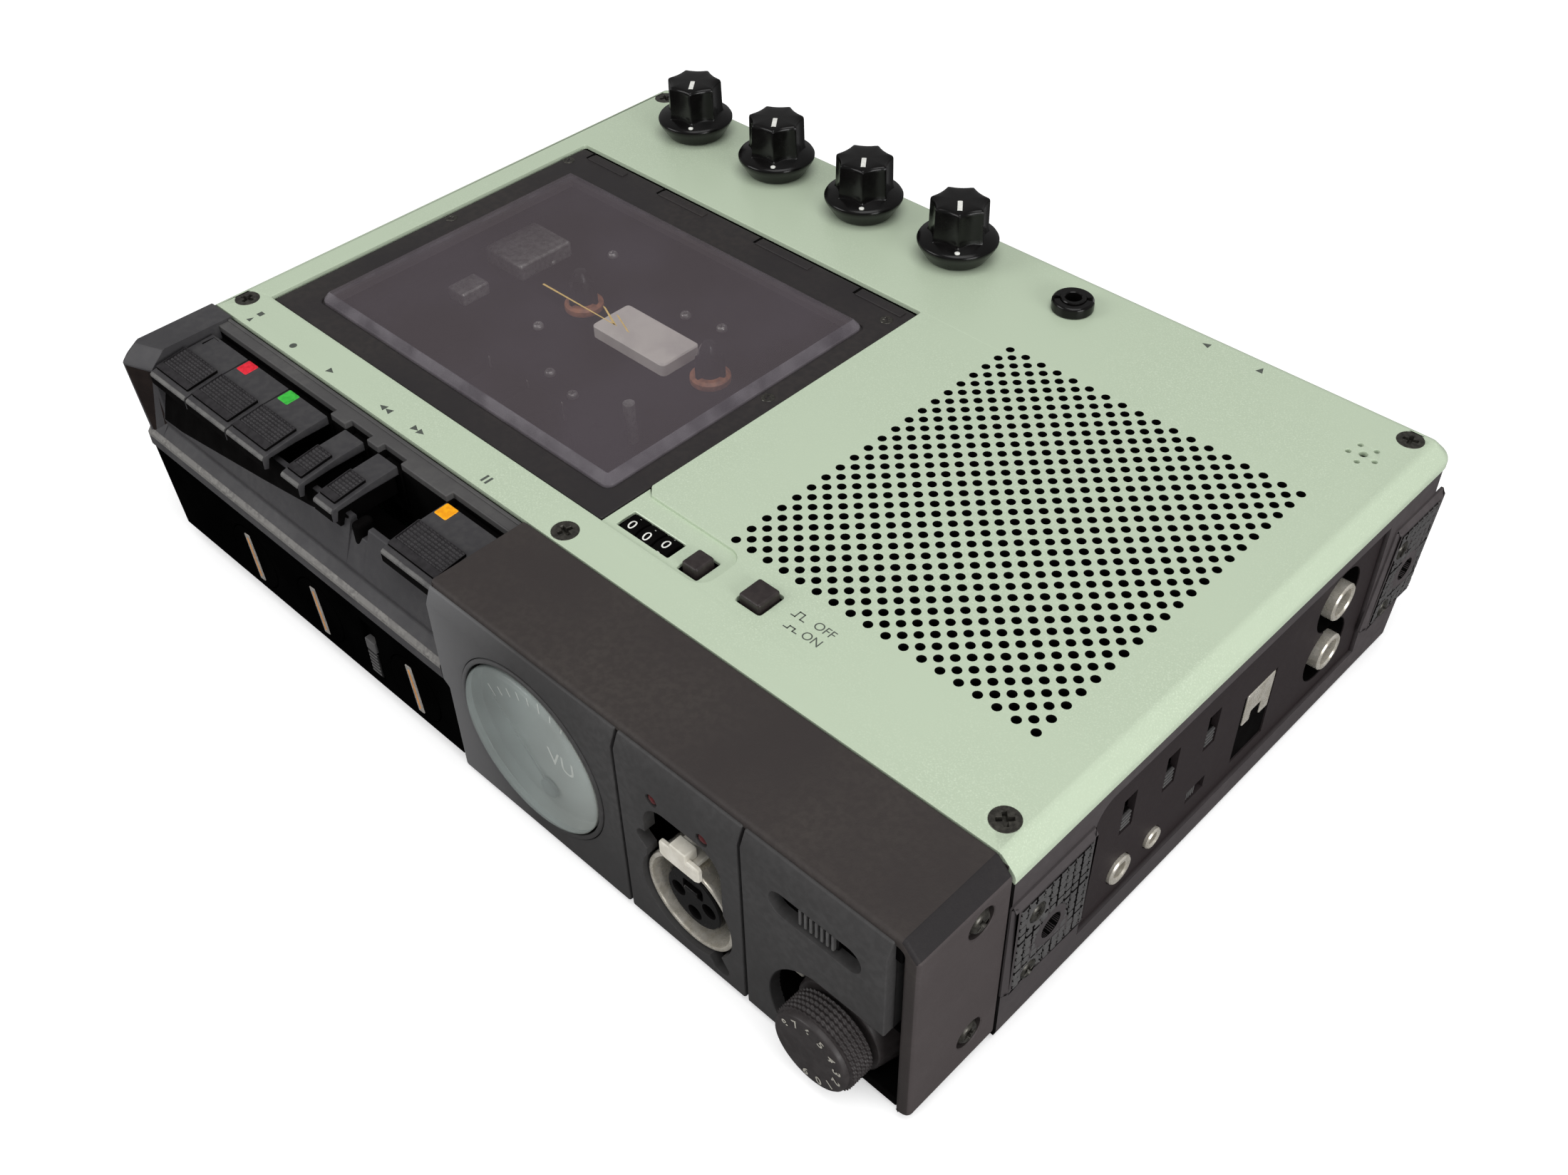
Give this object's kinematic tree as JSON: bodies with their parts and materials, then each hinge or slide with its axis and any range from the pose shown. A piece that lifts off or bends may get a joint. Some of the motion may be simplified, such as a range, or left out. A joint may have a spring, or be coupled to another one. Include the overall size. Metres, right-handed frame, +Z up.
{
  "type": "tape echo unit",
  "caption": "Desktop tape echo built on a portable cassette recorder: green metal top, hinged cassette door, key row, meter, sockets, switches and fluted knobs.",
  "frame": {"origin": "on the table under the middle of the machine", "axes": "+X towards the side with the line sockets, +Y towards the back with the echo knobs, +Z up"},
  "size_m": [0.2296, 0.1697, 0.0647],
  "materials": {
    "case": "fine textured near black",
    "rubber": "matt black rubber",
    "green_metal": "pale green paint with fine sparkle",
    "dark_cover": "textured warm black",
    "smoked": "gloss black window",
    "front_panel": "fine matt dark grey",
    "meter_dial": "grey green dial in a dark cup",
    "clear": "clear domed plastic",
    "needle": "thin painted pointer",
    "nickel": "bright nickel",
    "black_gloss": "glossy black",
    "lamp_red": "dark red lamp",
    "key_plastic": "dark satin with ridged pads",
    "steel": "plain steel",
    "deck": "dark well",
    "brass": "plain brass",
    "board": "circuit board",
    "speaker_cone": "dark paper cone and frame",
    "nut_black": "black ring nut",
    "door_frame": "dark brown black frame",
    "window_clear": "smoky clear block",
    "screw_black": "blackened screws"
  },
  "bodies": {
    "case": {"bottom_case": "case", "feet": "rubber", "top_cover": "green_metal", "front_cover": "dark_cover", "key_housing": "dark_cover", "front_window": "smoked", "vu_block": "front_panel", "mic_panel": "front_panel", "level_panel": "front_panel", "meter_case": "meter_dial", "meter_lens": "clear", "xlr_socket": "nickel", "signal_lamps": "lamp_red", "potentiometers": "nickel", "pivot_rods": "steel", "deck_plate": "deck", "tape_heads": "steel", "motor": "steel", "drive_belt": "rubber", "circuit_board": "board", "speaker": "speaker_cone", "echo_jack": "nut_black", "side_jacks": "nickel", "strap_plates": "dark_cover", "case_screws": "screw_black"},
    "needle": {"meter_needle": "needle"},
    "latch": {"xlr_latch": "nickel"},
    "record_level": {"record_knob": "black_gloss"},
    "mode": {"mode_ring": "front_panel"},
    "speed": {"speed_slider": "black_gloss"},
    "echo_knob_1": {"top_knob_1": "black_gloss"},
    "echo_knob_2": {"top_knob_2": "black_gloss"},
    "echo_knob_3": {"top_knob_3": "black_gloss"},
    "echo_knob_4": {"top_knob_4": "black_gloss"},
    "front_knob_1": {"window_knob_1": "black_gloss"},
    "front_knob_2": {"window_knob_2": "black_gloss"},
    "front_knob_3": {"window_knob_3": "black_gloss"},
    "tone": {"tone_slider": "black_gloss"},
    "stop": {"stop_key": "key_plastic"},
    "record": {"record_key": "key_plastic"},
    "play": {"play_key": "key_plastic"},
    "rewind": {"rewind_key": "key_plastic"},
    "forward": {"forward_key": "key_plastic"},
    "pause": {"pause_key": "key_plastic"},
    "supply_reel": {"supply_hub": "black_gloss"},
    "takeup_reel": {"takeup_hub": "black_gloss"},
    "capstan_wheel": {"flywheel": "steel"},
    "roller": {"pinch_roller": "rubber"},
    "pulley": {"motor_pulley": "brass"},
    "count_hundreds": {"counter_wheel_1": "black_gloss"},
    "count_tens": {"counter_wheel_2": "black_gloss"},
    "count_units": {"counter_wheel_3": "black_gloss"},
    "reset": {"reset_button": "black_gloss"},
    "memory": {"memory_button": "black_gloss"},
    "door": {"cassette_door": "door_frame", "door_window": "window_clear"},
    "input_switch": {"side_switch_1": "black_gloss"},
    "limiter_switch": {"side_switch_2": "black_gloss"},
    "tape_switch": {"side_switch_3": "black_gloss"},
    "monitor": {"monitor_switch": "black_gloss"}
  },
  "joints": [
    {"name": "needle_swing", "type": "hinge", "parent": "case", "child": "needle", "pos_m": [0.0231, -0.0705, 0.0122], "axis": [0, 1, 0], "range_deg": [0, 84], "stiffness_Nm_per_rad": 0.00005, "springref_deg": -2.86},
    {"name": "latch_press", "type": "slide", "parent": "case", "child": "latch", "axis": [0, 1, 0], "range_m": [0, 0.0012], "stiffness_N_per_m": 250, "springref_m": -0.001},
    {"name": "record_level_turn", "type": "hinge", "parent": "case", "child": "record_level", "pos_m": [0.0972, -0.0847, 0.0116], "axis": [0, 1, 0], "range_deg": [0, 290]},
    {"name": "mode_turn", "type": "hinge", "parent": "case", "child": "mode", "pos_m": [0.0972, -0.074, 0.0116], "axis": [0, 1, 0], "range_deg": [-45, 45]},
    {"name": "speed_slide", "type": "slide", "parent": "case", "child": "speed", "axis": [1, 0, 0], "range_m": [-0.0045, 0.0045]},
    {"name": "echo_knob_1_turn", "type": "hinge", "parent": "case", "child": "echo_knob_1", "pos_m": [-0.0876, 0.0704, 0.055], "axis": [0, 0, 1], "range_deg": [0, 284]},
    {"name": "echo_knob_2_turn", "type": "hinge", "parent": "case", "child": "echo_knob_2", "pos_m": [-0.059, 0.0704, 0.055], "axis": [0, 0, 1], "range_deg": [0, 284]},
    {"name": "echo_knob_3_turn", "type": "hinge", "parent": "case", "child": "echo_knob_3", "pos_m": [-0.0304, 0.0704, 0.055], "axis": [0, 0, 1], "range_deg": [0, 284]},
    {"name": "echo_knob_4_turn", "type": "hinge", "parent": "case", "child": "echo_knob_4", "pos_m": [-0.0018, 0.0704, 0.055], "axis": [0, 0, 1], "range_deg": [0, 284]},
    {"name": "front_knob_1_turn", "type": "hinge", "parent": "case", "child": "front_knob_1", "pos_m": [-0.0737, -0.079, 0.013], "axis": [0, 1, 0], "range_deg": [-140, 140]},
    {"name": "front_knob_2_turn", "type": "hinge", "parent": "case", "child": "front_knob_2", "pos_m": [-0.049, -0.079, 0.013], "axis": [0, 1, 0], "range_deg": [-140, 140]},
    {"name": "front_knob_3_turn", "type": "hinge", "parent": "case", "child": "front_knob_3", "pos_m": [-0.0158, -0.079, 0.013], "axis": [0, 1, 0], "range_deg": [-140, 140]},
    {"name": "tone_slide", "type": "slide", "parent": "case", "child": "tone", "axis": [0, 0, 1], "range_m": [0, 0.0042]},
    {"name": "stop_press", "type": "hinge", "parent": "case", "child": "stop", "pos_m": [-0.09635, -0.051, 0.041], "axis": [1, 0, 0], "range_deg": [0, 5.5], "stiffness_Nm_per_rad": 0.5, "springref_deg": -5.73},
    {"name": "record_press", "type": "hinge", "parent": "case", "child": "record", "pos_m": [-0.08145, -0.051, 0.041], "axis": [1, 0, 0], "range_deg": [0, 5.5], "stiffness_Nm_per_rad": 0.5, "springref_deg": -5.73},
    {"name": "play_press", "type": "hinge", "parent": "case", "child": "play", "pos_m": [-0.06665, -0.051, 0.041], "axis": [1, 0, 0], "range_deg": [0, 5.5], "stiffness_Nm_per_rad": 0.5, "springref_deg": -5.73},
    {"name": "rewind_press", "type": "hinge", "parent": "case", "child": "rewind", "pos_m": [-0.05035, -0.051, 0.041], "axis": [1, 0, 0], "range_deg": [0, 5.5], "stiffness_Nm_per_rad": 0.5, "springref_deg": -5.73},
    {"name": "forward_press", "type": "hinge", "parent": "case", "child": "forward", "pos_m": [-0.039, -0.051, 0.041], "axis": [1, 0, 0], "range_deg": [0, 5.5], "stiffness_Nm_per_rad": 0.5, "springref_deg": -5.73},
    {"name": "pause_press", "type": "hinge", "parent": "case", "child": "pause", "pos_m": [-0.01195, -0.051, 0.041], "axis": [1, 0, 0], "range_deg": [0, 5.5], "stiffness_Nm_per_rad": 0.5, "springref_deg": -5.73},
    {"name": "supply_turn", "type": "hinge", "parent": "case", "child": "supply_reel", "pos_m": [-0.0652, 0.0113, 0.038], "axis": [0, 0, 1], "continuous": true},
    {"name": "takeup_turn", "type": "hinge", "parent": "case", "child": "takeup_reel", "pos_m": [-0.0227, 0.0113, 0.038], "axis": [0, 0, 1], "continuous": true},
    {"name": "pulley_turn", "type": "hinge", "parent": "case", "child": "pulley", "pos_m": [-0.076, 0.04, 0.025], "axis": [0, 0, 1], "continuous": true},
    {"name": "capstan_turn", "type": "hinge", "parent": "case", "child": "capstan_wheel", "pos_m": [-0.0195, -0.015, 0.038], "axis": [0, 0, 1], "continuous": true},
    {"name": "roller_turn", "type": "hinge", "parent": "case", "child": "roller", "pos_m": [-0.0195, -0.0237, 0.042], "axis": [0, 0, 1], "continuous": true},
    {"name": "hundreds_turn", "type": "hinge", "parent": "case", "child": "count_hundreds", "pos_m": [0.01225, -0.0418, 0.0445], "axis": [1, 0, 0], "continuous": true},
    {"name": "tens_turn", "type": "hinge", "parent": "case", "child": "count_tens", "pos_m": [0.01665, -0.0418, 0.0445], "axis": [1, 0, 0], "continuous": true},
    {"name": "units_turn", "type": "hinge", "parent": "case", "child": "count_units", "pos_m": [0.02105, -0.0418, 0.0445], "axis": [1, 0, 0], "continuous": true},
    {"name": "reset_press", "type": "slide", "parent": "case", "child": "reset", "axis": [0, 0, -1], "range_m": [0, 0.0012], "stiffness_N_per_m": 200, "springref_m": -0.001},
    {"name": "memory_press", "type": "slide", "parent": "case", "child": "memory", "axis": [0, 0, -1], "range_m": [0, 0.0012], "stiffness_N_per_m": 200, "springref_m": -0.001},
    {"name": "door_swing", "type": "hinge", "parent": "case", "child": "door", "pos_m": [-0.0484, 0.0457, 0.04815], "axis": [-1, 0, 0], "range_deg": [0, 50]},
    {"name": "input_slide", "type": "slide", "parent": "case", "child": "input_switch", "axis": [0, 0, 1], "range_m": [0, 0.0045]},
    {"name": "limiter_slide", "type": "slide", "parent": "case", "child": "limiter_switch", "axis": [0, 0, 1], "range_m": [0, 0.0045]},
    {"name": "tape_slide", "type": "slide", "parent": "case", "child": "tape_switch", "axis": [0, 0, 1], "range_m": [0, 0.0045]},
    {"name": "monitor_slide", "type": "slide", "parent": "case", "child": "monitor", "axis": [0, 1, 0], "range_m": [0, 0.0021]}
  ],
  "couplings": [
    {"joint": "capstan_turn", "follows": "pulley_turn", "ratio": 0.2},
    {"joint": "tens_turn", "follows": "units_turn", "ratio": 0.1},
    {"joint": "hundreds_turn", "follows": "units_turn", "ratio": 0.01}
  ]
}
